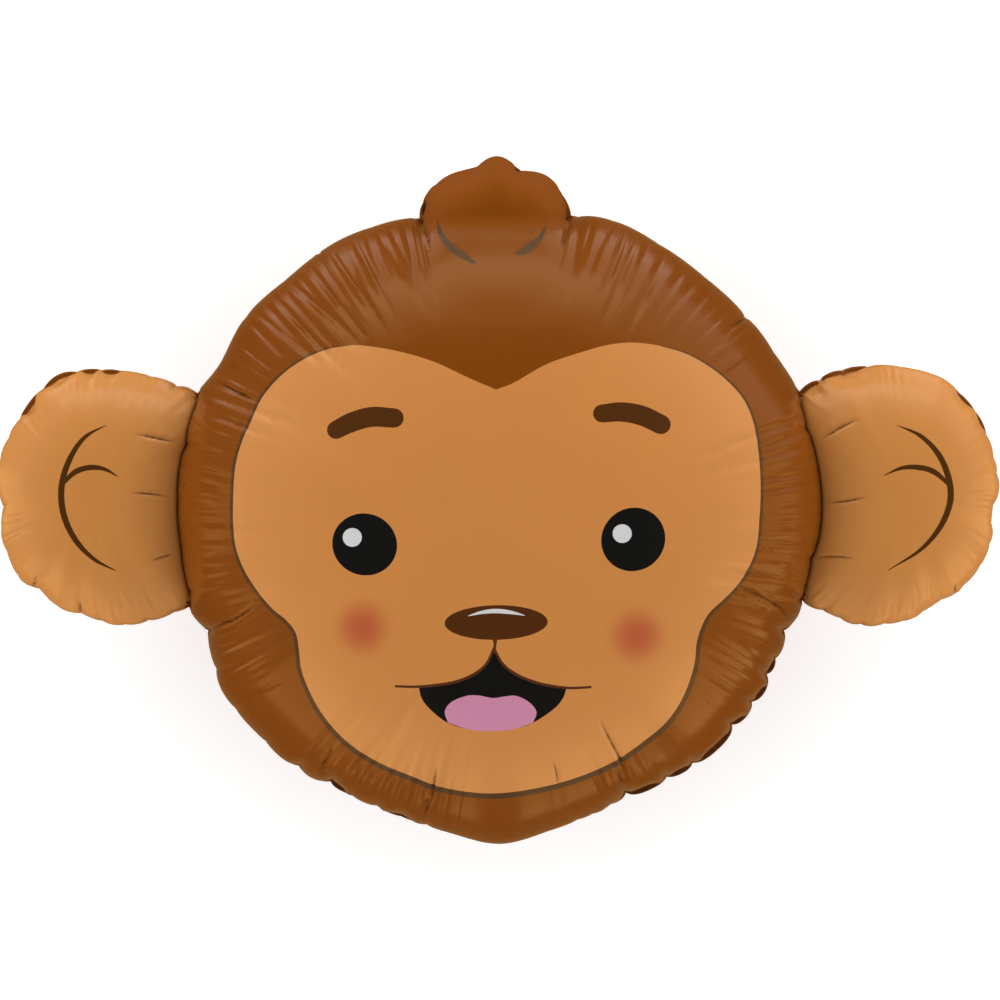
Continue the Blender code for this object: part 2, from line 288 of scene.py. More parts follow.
def edge_points(lobe, angle, depth=0.0):
    """Points on a lobe's edge, or that far in from it."""
    radius = edge_radius(lobe, angle) - depth
    return shares(lobe["centre"]) + np.stack([radius * np.cos(angle), radius * np.sin(angle)], 1)


def crossing(lobe, index, way):
    """The angle near a step of the arc where the edge meets another lobe."""
    free, hidden = index * ARC_STEP, (index + way) * ARC_STEP
    for _ in range(HALVINGS):
        middle = (free + hidden) / 2
        if inside(edge_points(lobe, np.array([middle])), lobe)[0]:
            hidden = middle
        else:
            free = middle
    return free


def edge_arcs():
    """The stretches of each lobe's edge that lie outside the others, as (lobe, from, to)."""
    arcs = []
    for lobe in LOBES:
        angles = np.arange(0, math.tau, ARC_STEP)
        free = ~inside(edge_points(lobe, angles), lobe)
        for i in np.nonzero(free & ~np.roll(free, 1))[0]:
            j = i
            while free[(j + 1) % len(angles)]:
                j += 1
            arcs.append((lobe, crossing(lobe, i, -1), crossing(lobe, j, 1)))
    return arcs


def columns(lobe, start, end):
    """Closely spaced angles along one arc, with one at each pinch."""
    radius = shares(np.mean(lobe["radii"]))
    stops = [start]
    turns = sorted(
        math.radians(place) + turn for place, _ in lobe["pinches"] for turn in (0, math.tau)
    )
    for stop in turns:
        if start < stop < end and (stop - stops[-1]) * radius > COLUMN_SPACING / 2:
            stops.append(stop)
    if (end - stops[-1]) * radius < COLUMN_SPACING / 2 and len(stops) > 1:
        stops.pop()
    stops.append(end)
    angles = []
    for a, b in zip(stops, stops[1:]):
        count = max(1, round((b - a) * radius / COLUMN_SPACING))
        angles.extend(a + (b - a) * k / count for k in range(count))
    return np.array(angles + [end])


def seam_loop():
    """Lobe and angles of every arc, in order around the balloon."""
    arcs = edge_arcs()
    ordered = [arcs.pop(0)]
    while arcs:
        lobe, _, end = ordered[-1]
        here = edge_points(lobe, np.array([end]))[0]
        gaps = [
            np.linalg.norm(edge_points(other, np.array([start]))[0] - here)
            for other, start, _ in arcs
        ]
        ordered.append(arcs.pop(int(np.argmin(gaps))))
    return [(lobe, columns(lobe, start, end)) for lobe, start, end in ordered]


# Rows beside the seam.


def wedge(first, second, start, end):
    """Points from one lobe's last column to the next lobe's first, the middle one on the fold."""
    low, high = 0.0, 1.0
    for _ in range(WEDGE_HALVINGS):
        t = (low + high) / 2
        point = (start + (end - start) * t)[None]
        if blown(first, point)[0] > blown(second, point)[0]:
            low = t
        else:
            high = t
    t = (low + high) / 2 if WEDGE_MARGIN < low < 1 - WEDGE_MARGIN else 0.5
    steps = np.linspace(0, 1, WEDGE_HALF + 1)[1:]
    along = np.concatenate([t * steps, t + (1 - t) * steps[:-1]])
    return start + (end - start) * along[:, None]


def row(loop, depth, steep):
    """One closed row of points, at a depth inside the edge that is less on a small lobe."""
    ends = [edge_points(lobe, angles, depth + steep * lobe["steep"]) for lobe, angles in loop]
    parts = []
    for n, (lobe, _) in enumerate(loop):
        following = (n + 1) % len(loop)
        gap = wedge(lobe, loop[following][0], ends[n][-1], ends[following][0])
        parts.extend([ends[n], gap])
    return np.concatenate(parts)


def strips(rows):
    """Triangles between neighbouring rows, as indices into all the rows' points."""
    count = len(rows[0])
    here = np.arange(count)
    after = (here + 1) % count
    made = []
    for k in range(len(rows) - 1):
        a, b = here + k * count, after + k * count
        c, d = b + count, a + count
        made.extend([np.stack([a, b, c], 1), np.stack([a, c, d], 1)])
    return np.concatenate(made)


# The print, in thousandths of the span as seen by the camera: x to the right, y down.


def plan_of(points):
    """Where points of the print lie in plan."""
    points = np.asarray(points, float)
    seen = np.stack([points[:, 0] - 500, 500 - points[:, 1]], 1) * SPAN / 1000
    plan = seen.copy()
    for _ in range(PLAN_STEPS):
        plan = seen * (1 - film_height(plan)[:, None] / CAMERA_DISTANCE)
    return plan


def smooth(points, closed=False, spacing=PRINT_SPACING):
    """A curve through points, with a point about every spacing metres."""
    points = np.asarray(points, float)
    if closed:
        points = np.vstack([points[-2:], points, points[:2]])
    else:
        points = np.vstack([2 * points[0] - points[1], points, 2 * points[-1] - points[-2]])
    steps = np.sqrt(np.linalg.norm(np.diff(points, axis=0), axis=1))[:, None] + 1e-9
    ways = np.diff(points, axis=0) / steps
    slopes = (ways[:-1] * steps[1:] + ways[1:] * steps[:-1]) / (steps[:-1] + steps[1:])
    made = []
    for k in range(2 if closed else 1, len(points) - 2):
        a, b = points[k], points[k + 1]
        count = max(1, math.ceil(np.linalg.norm(b - a) * SPAN / 1000 / spacing))
        t = (np.arange(count) / count)[:, None]
        leave, arrive = steps[k] * slopes[k - 1], steps[k] * slopes[k]
        made.append(
            (2 * t**3 - 3 * t**2 + 1) * a + (t**3 - 2 * t**2 + t) * leave
            + (3 * t**2 - 2 * t**3) * b + (t**3 - t**2) * arrive
        )
    if not closed:
        made.append(points[-2][None])
    return np.concatenate(made)


def directions(line):
    """Unit vectors along and across a line at each of its points."""
    way = np.gradient(line, axis=0)
    way /= np.linalg.norm(way, axis=1)[:, None]
    return way, np.stack([way[:, 1], -way[:, 0]], 1)


def travelled(line):
    """The share of a line's length that comes before each of its points."""
    lengths = np.cumsum(np.linalg.norm(np.diff(line, axis=0), axis=1))
    return np.concatenate([[0], lengths]) / lengths[-1]


def stroke(points, widths, round_ends=False):
    """Outline of a brush stroke along points, with a width at each."""
    line = smooth(points)
    width = np.interp(travelled(line), travelled(points), widths)
    way, across = directions(line)
    side = across * width[:, None] / 2
    left, right = line + side, line - side
    if not round_ends:
        return np.concatenate([left, right[::-1]])
    caps = []
    for place, direction, across in ((-1, way[-1], side[-1]), (0, -way[0], -side[0])):
        turns = np.linspace(0, math.pi, CAP_POINTS)[1:-1, None]
        size = np.linalg.norm(across)
        caps.append(line[place] + np.cos(turns) * across + np.sin(turns) * direction * size)
    return np.concatenate([left, caps[0], right[::-1], caps[1]])


def oval(centre, radii, lean):
    """An ellipse that leans by some degrees."""
    count = max(OVAL_POINTS, int(sum(radii) * math.pi * SPAN / 1000 / PRINT_SPACING))
    turns = np.linspace(0, math.tau, count, endpoint=False)
    x, y = radii[0] * np.cos(turns), radii[1] * np.sin(turns)
    c, s = math.cos(math.radians(lean)), math.sin(math.radians(lean))
    return np.stack([centre[0] + c * x - s * y, centre[1] + s * x + c * y], 1)


FACE = (
    (496, 389.6), (512, 383.6), (546, 364.5), (582, 352), (608, 345), (631.5, 342.6),
    (661, 346), (686, 353), (711.5, 367), (731, 383), (745, 399.6), (754, 420), (759, 444),
    (762, 481), (761, 517), (757.6, 548.5), (749, 570), (738, 587), (725, 600.6), (710, 615),
    (703, 628.5), (698.7, 643), (697, 662), (691, 684), (681, 706), (667, 725), (647, 742),
    (623, 759), (596, 773), (558, 786), (518, 794), (495, 796), (472, 795), (437, 788.6),
    (409, 778), (380, 766), (354.5, 750.6), (336, 734.6), (318, 711.6), (306, 688.6),
    (299, 668), (297, 649.6), (294, 633.5), (285.6, 622), (272, 610.6), (258, 594.5),
    (242, 569), (234, 546), (231.7, 523), (231.7, 500), (234, 466), (240, 443), (250, 420),
    (260, 398.5), (271, 384), (287, 369), (308.6, 355.6), (330, 348), (351, 345),
    (367.5, 346), (399.6, 351.6), (434.5, 362), (469, 378), (496, 389.6),
)
FACE_LINE_WIDTHS = (
    (6, 0.4), (7, 1.4), (9, 2.2), (12, 2.8), (16, 3.0), (19, 3.8), (22, 4.4), (25, 5.2), (30, 5.4),
    (35, 5.2), (40, 4.0), (43, 3.4), (48, 3.0), (54, 2.6), (56, 2.0), (57, 1.3), (58, 0.4),
)
BROWS = (
    ((336, 430), (350, 423), (371, 417), (394, 418)),
    ((602, 413.5), (622, 412), (642, 415.7), (661, 424.5)),
)
BROW_WIDTHS = (18, 19.5, 20, 19.5)
# The eyes, their glints and the nose, as (ink, centre, radii, degrees of lean).
OVALS = (
    ("black", (364.7, 544.4), (32.6, 30.8), 20), ("black", (633.2, 539.4), (32.6, 31.2), -40),
    ("white", (352.3, 537.4), (9.6, 9.4), 0), ("white", (622.2, 533.6), (9.6, 9.4), 0),
    ("nose", (496.2, 622.5), (51.5, 17.3), -1),
)
NOSE_SHINE = (
    (468, 616), (482, 610.6), (496, 608.8), (511, 610.6), (525, 615.5), (511, 614.2),
    (496, 613.2), (482, 614),
)
LIPS = (
    (395, 686.3), (418, 686.7), (437, 685), (456.5, 681.5), (476, 673), (487, 663), (494, 648),
    (502, 663), (514, 673), (533, 681.5), (552, 686), (571, 688), (591.4, 687),
)
LIP_WIDTHS = (2.3, 2.6, 2.8, 2.9, 2.9, 2.7, 2.4)
LIP_STEM = ((495, 639), (495, 645), (494.4, 652))
LIP_STEM_WIDTHS = (4.6, 2.8, 2.6)
MOUTH_TOP = (
    (419, 687.4), (437, 685.6), (456.5, 682), (476, 673.6), (487, 664), (494, 652), (502, 664),
    (514, 673.6), (533, 682), (552, 686.6), (566.5, 688.4),
)
MOUTH_BOTTOM = (
    (566.5, 688.4), (563, 698), (556, 707), (533, 722.6), (514, 729), (493, 731), (470, 729.5),
    (447, 722.4), (427, 706), (421, 697), (419, 687.4),
)
TONGUE_TOP = (
    (448, 722.6), (444.7, 712), (449, 704), (457, 699), (470, 695.3), (480, 695.6), (493, 698),
    (505, 696.4), (515, 695.6), (526, 700), (534, 707), (536.6, 713), (533, 722.6),
)
# The lines in the ears and under the tuft, as (ink, widths, lines).
LINES = (
    ("ear_line", (0.6, 4.0, 5.7, 6.3, 6.3, 5.6, 3.8, 0.6), (
        ((106, 426), (85, 438), (70, 460), (62.2, 488), (64.8, 516), (77, 541), (95, 559),
         (116, 570)),
        ((897, 426), (920, 436.5), (938, 455), (948, 479), (949.5, 500), (941, 524),
         (922, 547.5), (888, 569.6)),
    )),
    ("ear_line", (3.2, 5.6, 5.4, 3.8, 0.6), (
        ((61.5, 486), (76.5, 472), (92, 468), (105, 470), (117.6, 477)),
        ((950.5, 487), (933, 472), (918, 468), (902, 468.6), (884, 476)),
    )),
    ("tuft_line", (0.8, 5.6, 8.2, 7.0, 1.8), (
        ((437.6, 221), (441, 234), (451, 247), (464, 256), (476.5, 264)),
        ((546, 224.6), (540, 238), (531, 246), (522, 252), (515, 253.6)),
    )),
)
BLUSHES = ((362.5, 627.5), (637, 636))


def face_line():
    """The dark outline of the face patch: thin at the top ends, thick round the chin."""
    first, last = FACE_LINE_WIDTHS[0][0], FACE_LINE_WIDTHS[-1][0]
    places, widths = zip(*FACE_LINE_WIDTHS)
    line = FACE[first:last + 1]
    return stroke(line, np.interp(range(first, last + 1), places, widths))


def lip_line():
    """The upper lip, in halves that meet under the nose, and the line between them."""
    halves = stroke(LIPS[:7], LIP_WIDTHS), stroke(LIPS[6:], LIP_WIDTHS[::-1])
    return [stroke(LIP_STEM, LIP_STEM_WIDTHS), *halves]


def print_shapes():
    """(ink, outline) of every printed shape, the later ones over the earlier ones."""
    shapes = [("face", smooth(FACE)), ("outline", face_line())]
    shapes.extend(("brow", stroke(brow, BROW_WIDTHS, True)) for brow in BROWS)
    shapes.extend((ink, oval(centre, radii, lean)) for ink, centre, radii, lean in OVALS)
    shapes.append(("white", smooth(NOSE_SHINE, closed=True)))
    mouth = np.concatenate([smooth(MOUTH_TOP)[:-1], smooth(MOUTH_BOTTOM)[:-1]])
    tongue = np.concatenate([smooth(TONGUE_TOP)[:-1], smooth(MOUTH_BOTTOM[3:8])[:-1]])
    shapes.extend([("black", mouth), ("tongue", tongue)])
    shapes.extend(("lip", outline) for outline in lip_line())
    for ink, widths, lines in LINES:
        shapes.extend((ink, stroke(line, widths)) for line in lines)
    return [(ink, plan_of(outline)) for ink, outline in shapes]


# Sharp folds of the film, as (depth in mm, width in mm, points as for the print).
FOLDS = (
    (1.6, 1.3, ((437, 766), (435, 778), (433, 790), (431, 806))),
    (1.4, 1.3, ((428, 796), (427, 806), (426, 817))),
    (1.8, 1.4, ((598, 716), (608, 736), (619, 757), (625, 772), (627, 788))),
    (1.8, 1.4, ((738, 587), (756, 594), (774, 604), (792, 622))),
    (1.8, 1.4, ((259, 603), (248, 611), (235, 619), (214, 628), (205, 630))),
    (1.2, 1.3, ((217, 382), (236, 391), (256, 401))),
    (1.4, 1.3, ((317, 250), (322, 258), (326, 264))),
    (1.6, 1.4, ((332, 748), (325, 760), (322, 767), (325, 772), (330, 778))),
    (1.2, 1.3, ((731, 328), (738, 323), (746, 319))),
    (0.7, 1.5, ((421, 222), (426, 234), (432, 250))),
    (0.7, 1.5, ((572, 222), (566, 235), (560, 250))),
    (1.5, 1.5, ((134, 435), (152, 438), (176, 444))),
    (1.5, 1.5, ((130, 493), (148, 494), (167, 496.5))),
    (1.3, 1.5, ((150, 560), (160, 557), (174, 552))),
    (1.6, 1.5, ((860, 420), (842, 428), (822, 441))),
    (1.6, 1.5, ((868, 497), (848, 501), (828, 503))),
    (1.2, 1.5, ((856, 558), (838, 556), (816, 556))),
    (1.2, 1.2, ((37, 572), (37, 578), (36, 586))),
    (1.2, 1.2, ((79, 596), (81, 606), (81, 613))),
    (1.2, 1.2, ((953, 580), (953, 585), (951, 592))),
    (1.0, 1.2, ((624, 789), (620, 776), (618, 764))),
    (1.0, 1.2, ((553, 762), (556, 772), (558, 784))),
)
# The crease where an ear runs into the head, in metres, with a dark line of painted shade along
# its bottom.
CREASE_DIP = 0.006
CREASE_WIDTH = 0.0022
CREASE_SHADE_WIDTH = 0.0012
CREASE_FULL = 0.020
CREASE_SLOPE = 1.8
CREASE_SIDES = (-0.009, -0.006, -0.0035, -0.0018, -0.0008, 0.0, 0.0008, 0.0018, 0.0035, 0.0065)
# A sharp fold's dark line of painted shade, mesh and reach, in metres. It fades below FOLD_HEIGHT
# and at both ends. The lip beside it lies LIP_PLACE of its widths away.
FOLD_SHADE_WIDTH = 0.0007
FOLD_SIDES = (-0.0030, -0.0013, -0.0005, 0.0, 0.0005, 0.0013, 0.0030)
FOLD_SPACING = 0.0018
FOLD_FELT_SPACING = 0.001
FOLD_REACH = 0.012
FOLD_HEIGHT = 0.01
FOLD_VALLEY = 1.25
FOLD_LIP, LIP_PLACE, LIP_WIDTH = 0.45, 2.6, 2.2


def fold_chains(folds, ring):
    """Lines of points along each fold and beside it, inside the last row."""
    chains = []
    for _, _, points in folds:
        line = plan_of(smooth(points, spacing=FOLD_SPACING))
        _, across = directions(line)
        for shift in FOLD_SIDES:
            chains.append(clear_inside(line - across * shift, ring, FOLD_CLEARANCE))
    return [chain for chain in chains if len(chain) > 1]


def crease_rows(ear):
    """Points along the fold where an ear's film runs into the head's, and beside it."""
    _, toward = polar(HEAD, shares(ear["centre"]))
    angles = toward + np.radians(np.arange(-CREASE_REACH, CREASE_REACH, CREASE_STEP))
    aim = np.stack([np.cos(angles), np.sin(angles)], 1)
    near, far = CREASE_INNER * edge_radius(HEAD, angles), edge_radius(HEAD, angles)
    for _ in range(HALVINGS):
        middle = (near + far) / 2
        points = shares(HEAD["centre"]) + middle[:, None] * aim
        over = blown(HEAD, points) > blown(ear, points)
        near, far = np.where(over, middle, near), np.where(over, far, middle)
    open_film = blown(ear, points) > 0.0
    return [(points + shift * aim)[open_film] for shift in CREASE_SIDES]


def within(points, ring):
    """True where a point lies inside a closed ring of points."""
    following = np.roll(ring, -1, axis=0)
    rise = following[:, 1] - ring[:, 1]
    slope = (following[:, 0] - ring[:, 0]) / np.where(rise == 0, 1, rise)
    found = np.zeros(len(points), bool)
    box = (points >= ring.min(axis=0)).all(axis=1) & (points <= ring.max(axis=0)).all(axis=1)
    x, y = points[box, :1], points[box, 1:]
    level = (ring[:, 1] > y) != (following[:, 1] > y)
    crossed = level & (x < ring[:, 0] + (y - ring[:, 1]) * slope)
    found[box] = crossed.sum(axis=1) % 2 == 1
    return found


def distance_to(points, others):
    """Distance from each point to the nearest of the others."""
    tree = KDTree(len(others))
    for index, (x, y) in enumerate(others.tolist()):
        tree.insert((x, y, 0), index)
    tree.balance()
    return np.array([tree.find((x, y, 0))[2] for x, y in points.tolist()])


def clear_inside(points, ring, clearance):
    """The points inside a closed ring that stand further than this from it."""
    points = points[within(points, ring)]
    return points[distance_to(points, ring) > clearance]


def pleat_points(ring, fixed, every):
    """Points on rays from the middle of each lobe, closer together across the pleats."""
    made = []
    for lobe, depths in PLEAT_ROWS:
        count = int(math.tau * shares(np.mean(lobe["radii"])) / COLUMN_SPACING / 4) * 4
        angles = np.arange(count) * math.tau / count
        for depth in depths[::every]:
            apart = every * (2 if depth > PLEAT_THINNED else 1)
            points = edge_points(lobe, angles[::apart], depth)
            points = clear_inside(points, ring, PLEAT_CLEARANCE)
            made.append(points[[LOBES[k] is lobe for k in owners(points)]])
    points = np.concatenate(made)
    return points[distance_to(points, fixed) > PRINT_CLEARANCE]


def field_points(ring, fixed, pleats, every):
    """Points inside the last row, further apart towards the middle of the head."""
    low, high = ring.min(axis=0), ring.max(axis=0)
    limits = [limit for limit, _ in FIELD_SPACING] + [math.inf]
    kept = []
    for level, (limit, spacing) in enumerate(FIELD_SPACING):
        spacing = spacing * (1 + every) / 2
        rise = spacing * math.sqrt(3) / 2
        lines = []
        for j, y in enumerate(np.arange(low[1], high[1], rise)):
            line = np.arange(low[0] + spacing / 2 * (j % 2), high[0], spacing)
            lines.append(np.stack([line, np.full_like(line, y)], 1))
        points = np.concatenate(lines)
        points = points[within(points, ring)]
        gap = distance_to(points, ring)
        points = points[(gap > limit) & (gap <= limits[level + 1])]
        points = points[distance_to(points, pleats) > PLEAT_GAP]
        clearance = max(PRINT_CLEARANCE, spacing * FIELD_CLEARANCE)
        kept.append(points[distance_to(points, fixed) > clearance])
    return np.concatenate(kept)


def plan(shapes, folds, every):
    """Points and triangles of one sheet of film in plan, and how many points its rim has."""
    loop = seam_loop()
    rows = [row(loop, depth, 0.0) for depth in FLANGE_ROWS]
    rows += [row(loop, SEAM_WIDTH, depth) for depth in STEEP_ROWS[::every]]
    ring = rows[-1]
    closed = [ring] + [outline for _, outline in shapes]
    chains = fold_chains(folds, ring)
    for ear in (LEFT_EAR, RIGHT_EAR):
        for chain in crease_rows(ear)[::every]:
            chains.append(clear_inside(chain, ring, CREASE_CLEARANCE))
    edges = []
    first = 0
    for index, chain in enumerate(closed + chains):
        last = first + len(chain) - 1
        edges.extend((k, k + 1) for k in range(first, last))
        if index < len(closed):
            edges.append((last, first))
        first = last + 1
    fixed = np.concatenate(closed[1:] + chains)
    pleats = pleat_points(ring, fixed, every)
    field = field_points(ring, fixed, pleats, every)
    points = np.concatenate(closed + chains + [pleats, field])
    found = delaunay_2d_cdt(points.tolist(), edges, [], 0, WELD_DISTANCE, True)
    inner = np.array([tuple(point) for point in found[0]])
    faces = np.array(found[2])
    faces = faces[within(inner[faces].mean(axis=1), ring)]
    # The ring's points are those of the last row: use the rows' own numbers for them.
    before = len(ring) * (len(rows) - 1)
    number = np.full(len(inner), -1)
    for new, origins in enumerate(found[3]):
        for origin in origins:
            if origin < len(ring):
                number[new] = before + origin
    rest = number < 0
    number[rest] = before + len(ring) + np.arange(rest.sum())
    points = np.concatenate(rows + [inner[rest]])
    triangles = np.concatenate([strips(rows), number[faces]])
    corners = points[triangles]
    turned = np.cross(corners[:, 1] - corners[:, 0], corners[:, 2] - corners[:, 0]) < 0
    triangles[turned] = triangles[turned][:, ::-1]
    return points, triangles, len(ring)


# Pleats that run in from the seam, by stretches of a lobe's rim, as (from degrees, to degrees,
# spacing, depth, length), the last three in mm.
PLEATS = (
    (HEAD, (
        (22, 34, 12, 1.4, 70), (34, 45, 10, 2.8, 84), (45, 56, 12, 1.3, 80),
        (56, 66, 12, 2.6, 92), (66, 77, 12, 3.8, 96), (104, 125, 11, 3.8, 100),
        (125, 160, 10, 3.6, 112), (160, 180, 9, 2.4, 110), (180, 203, 8, 2.0, 76),
        (203, 214, 8, 2.2, 80), (214, 228, 14, 0.4, 50), (228, 262, 14, 3.4, 150),
        (281, 291, 15, 0.6, 60), (291, 303, 12, 2.6, 60), (303, 319, 16, 0.5, 50),
        (319, 334, 12, 3.2, 86), (334, 344, 13, 1.4, 60), (344, 382, 12, 3.4, 150),
    )),
    (LEFT_EAR, (
        (30, 80, 11, 1.0, 36), (80, 107, 6, 1.5, 34), (118, 152, 6, 1.6, 36),
        (190, 216, 6, 1.6, 34), (216, 266, 15, 1.5, 38), (266, 300, 7, 1.4, 32),
        (300, 320, 11, 0.7, 30),
    )),
    (RIGHT_EAR, (
        (-45, -14, 10, 1.3, 38), (-14, 14, 6, 1.5, 38), (14, 50, 10, 1.0, 38),
        (50, 90, 13, 0.6, 36), (90, 104, 6, 1.4, 32), (104, 140, 13, 0.7, 32),
        (225, 262, 8, 1.3, 34), (262, 290, 6, 1.6, 36), (290, 315, 13, 1.5, 36),
    )),
)
# Random ranges of a pleat: its place, its slant, and its length, half width and depth as shares
# of the stretch's length, spacing and depth.
PLEAT_PLACES = (0.3, 0.7)
PLEAT_SLANT = 0.05
PLEAT_LENGTHS = (0.6, 1.1)
PLEAT_WIDTHS = (0.38, 0.52)
PLEAT_DEPTHS = (0.45, 1.1)
# A pleat is a valley with nearly straight flanks and a round bottom. It keeps its depth for a
# share of its length.
PLEAT_EDGE = 1.02
PLEAT_BOTTOM = 0.012
PLEAT_FLANK_POWER = 1.15
PLEAT_REACH = 1.2
PLEAT_HELD = 0.45
PLEAT_FADE_POWER = 1.2
# Pleats start where the film has climbed to these shares of the lobe's rise.
PLEAT_LOW, PLEAT_FULL = 0.10, 0.36
# Film in pleats of this depth, in metres, is crumpled in full.
PLEAT_ROUGHEST = 0.003
SEEDS = (11, 29)
# The tuft's film turns matte, and gets painted light, between these heights, in thousandths of the
# span.
MATTE_RISE = (243, 276)
MATTE_INKS = ("hair", "shade", "tuft_line")


def pleated(points, height, owner, seed, every):
    """How far the pleats lower the film, and how crumpled it is, at each point."""
    random = np.random.RandomState(seed)
    lowered = np.zeros(len(points))
    crumpled = np.zeros(len(points))
    for index, (lobe, stretches) in enumerate(PLEATS):
        mine = np.nonzero((owner == index) & (height > 0))[0]
        distance, angle = polar(lobe, points[mine])
        radius = shares(np.mean(lobe["radii"]))
        depth = shares(around(lobe["radii"], angle)) - SEAM_WIDTH - distance
        sunk = np.zeros(len(mine))
        rough = np.zeros(len(mine))
        for start, end, spacing, press, length in stretches:
            spacing, press, length = spacing * every / 1000, press / 1000, length / 1000
            count = max(1, int(math.radians(end - start) * radius / spacing))
            for k in range(count):
                share = (k + random.uniform(*PLEAT_PLACES)) / count
                place = math.radians(start + (end - start) * share)
                slant = random.normal(0, PLEAT_SLANT)
                far = length * random.uniform(*PLEAT_LENGTHS)
                width = spacing * random.uniform(*PLEAT_WIDTHS)
                sink = press * random.uniform(*PLEAT_DEPTHS)
                turn = (angle - place + math.pi) % math.tau - math.pi
                across = turn * distance - slant * depth
                near = (np.abs(across) < PLEAT_REACH * width) & (depth < far)
                u = across[near] / width
                flank = np.clip(PLEAT_EDGE - np.sqrt(u * u + PLEAT_BOTTOM), 0, None)
                left = 1 - np.clip(depth[near] / far, 0, 1)
                kept = np.clip(left / (1 - PLEAT_HELD), 0, 1) ** PLEAT_FADE_POWER
                sunk[near] += sink * kept * flank**PLEAT_FLANK_POWER
            turned = (angle - math.radians(start)) % math.tau
            inner = turned < math.radians(end - start)
            wave = np.clip(1 - depth[inner] / length, 0, 1)
            rough[inner] = np.maximum(rough[inner], press / PLEAT_ROUGHEST * wave)
        lowered[mine] = sunk * eased(height[mine] / lobe["rise"], PLEAT_LOW, PLEAT_FULL)
        crumpled[mine] = rough
    return lowered, crumpled


# Where the front film is drawn back and the back film shows, by stretches of each lobe's rim,
# as (from degrees, to degrees, share).
PEEKS = (
    (
        (235.5, 240, 0.7), (247.5, 254, 0.4), (295.8, 302.8, 1.0), (304.5, 309.1, 1.0),
        (310.4, 319.4, 1.2), (320.1, 323.2, 0.8), (326.3, 329.8, 1.0), (331.8, 334.8, 0.7),
    ),
    ((79.5, 88, 0.8), (89.5, 97.5, 0.8), (100, 117, 1.1), (121, 134, 1.2)),
    ((36, 48, 0.5), (49, 63, 0.6), (105, 124.5, 1.0), (125.5, 134, 1.2)),
    ((72, 78, 0.6), (148, 158, 0.6)),
)
PEEK_PULL = 1.2
PEEK_SEEN = 0.05


def peeking(points, nearest):
    """How far the front film is drawn back from the seam at each point."""
    share = np.zeros(len(points))
    for index, stretches in enumerate(PEEKS):
        mine = nearest == index
        _, angle = polar(LOBES[index], points[mine])
        turned = np.degrees(angle) % 360
        for start, end, much in stretches:
            along = np.clip((turned - start) / (end - start), 0, 1)
            share[mine] = np.maximum(share[mine], much * np.sin(math.pi * along))
    return share


def folded(points, height, folds):
    """How far the sharp folds press the film in, and how much painted shade each point gets along
    a fold's bottom.
    """
    pressed = np.zeros(len(points))
    fold_shade_mask = np.zeros(len(points))
    for depth, width, line in folds:
        depth, width = depth / 1000, width / 1000
        line = plan_of(smooth(line, spacing=FOLD_FELT_SPACING))
        near = np.nonzero(
            (points >= line.min(axis=0) - FOLD_REACH).all(axis=1)
            & (points <= line.max(axis=0) + FOLD_REACH).all(axis=1)
        )[0]
        gaps = np.linalg.norm(points[near, None] - line[None], axis=2)
        gap = gaps.min(axis=1)
        t = gaps.argmin(axis=1) / (len(line) - 1)
        fade = np.clip(np.minimum(t, 1 - t) * 3, 0, 1) * np.clip(height[near] / FOLD_HEIGHT, 0, 1)
        valley = np.exp(-gap / width) * FOLD_VALLEY
        lip = FOLD_LIP * np.exp(-((gap / width - LIP_PLACE) ** 2) / LIP_WIDTH)
        pressed[near] += depth * fade * (valley - lip)
        # Painted shade: a dark line along the fold's bottom, used to darken the colour.
        fold_shade_mask[near] = np.maximum(fold_shade_mask[near], fade * np.exp(-((gap / FOLD_SHADE_WIDTH) ** 2)))
    return pressed, fold_shade_mask


def creased(points):
    """How far the film dips where an ear runs into the head, and how much painted shade each point
    gets along the crease's bottom.
    """
    head = blown(HEAD, points)
    ears = np.maximum(blown(LEFT_EAR, points), blown(RIGHT_EAR, points))
    # The gap is how far the crease lies, judged by the difference in height.
    gap = np.abs(head - ears) / CREASE_SLOPE
    met = np.clip(np.minimum(head, ears) / CREASE_FULL, 0, 1)
    dip = CREASE_DIP * met * np.exp(-gap / CREASE_WIDTH)
    # The second value is painted shade: a dark line along the crease's bottom, used to darken the
    # colour.
    return dip, met * np.exp(-((gap / CREASE_SHADE_WIDTH) ** 2))


# The mesh.


def owners(points):
    """Number of the lobe whose film each point belongs to."""
    heights = np.array([blown(lobe, points) for lobe in LOBES])
    reaches = np.array([reach(lobe, points) for lobe in LOBES])
    return np.where(heights.max(axis=0) > 0, heights.argmax(axis=0), reaches.argmin(axis=0))


def sheet(points, height, nearest, side):
    """Positions of the film in front of or behind the seam, before its pleats."""
    lift, puff = seam_shape(points, nearest, height)
    if side > 0:
        puff = puff * (1 - PEEK_PULL * peeking(points, nearest) * lowness(height))[:, None]
    near = np.exp(-height / (2 * PUFF_HEIGHT))
    bulge = height / PUFF_HEIGHT * np.exp(1 - height / PUFF_HEIGHT)
    flat = points + puff * bulge[:, None]
    level = HEAD_RISE - FLAT_SPOT_DEPTH + lift * near + side * (SEAM_THICKNESS / 2 + height)
    return np.column_stack([flat, np.maximum(level, 0)])


def point_normals(corners, triangles):
    """Normal of the film at each point."""
    a, b, c = (corners[triangles[:, k]] for k in range(3))
    flat = np.cross(b - a, c - a)
    normals = np.zeros_like(corners)
    for k in range(3):
        np.add.at(normals, triangles[:, k], flat)
    return normals / np.linalg.norm(normals, axis=1)[:, None]


# Fine streaks stretch across the seam. Each lobe, and the back, has its own part of the noise.
STREAK_STRETCH = 0.12
STREAK_APART = 3
BACK_STREAKS = 7


